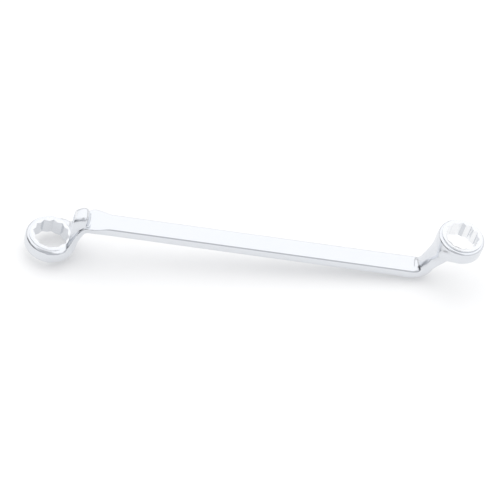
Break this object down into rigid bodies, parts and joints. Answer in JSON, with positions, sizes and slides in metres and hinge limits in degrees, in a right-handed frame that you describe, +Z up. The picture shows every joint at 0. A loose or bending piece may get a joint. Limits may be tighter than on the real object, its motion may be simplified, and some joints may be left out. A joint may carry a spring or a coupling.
{
  "type": "ring spanner",
  "caption": "Double-ended ring spanner with a flat shank, deep-cranked necks and twelve-point rings that turn hexagon nuts and bolts.",
  "frame": {"origin": "on the bench under the middle of the spanner, which lies with the 17 mm ring hanging below the shank and the 16 mm ring standing above it", "axes": "+X along the spanner towards the 16 mm ring, +Y across it, +Z up"},
  "size_m": [0.2416, 0.0274, 0.034],
  "materials": {
    "chrome_steel": "chrome-plated alloy steel, satin bright with a polished edge"
  },
  "bodies": {
    "root": {"ring_head_17": "chrome_steel", "neck_17": "chrome_steel", "shank": "chrome_steel", "neck_16": "chrome_steel", "ring_head_16": "chrome_steel"}
  },
  "joints": []
}
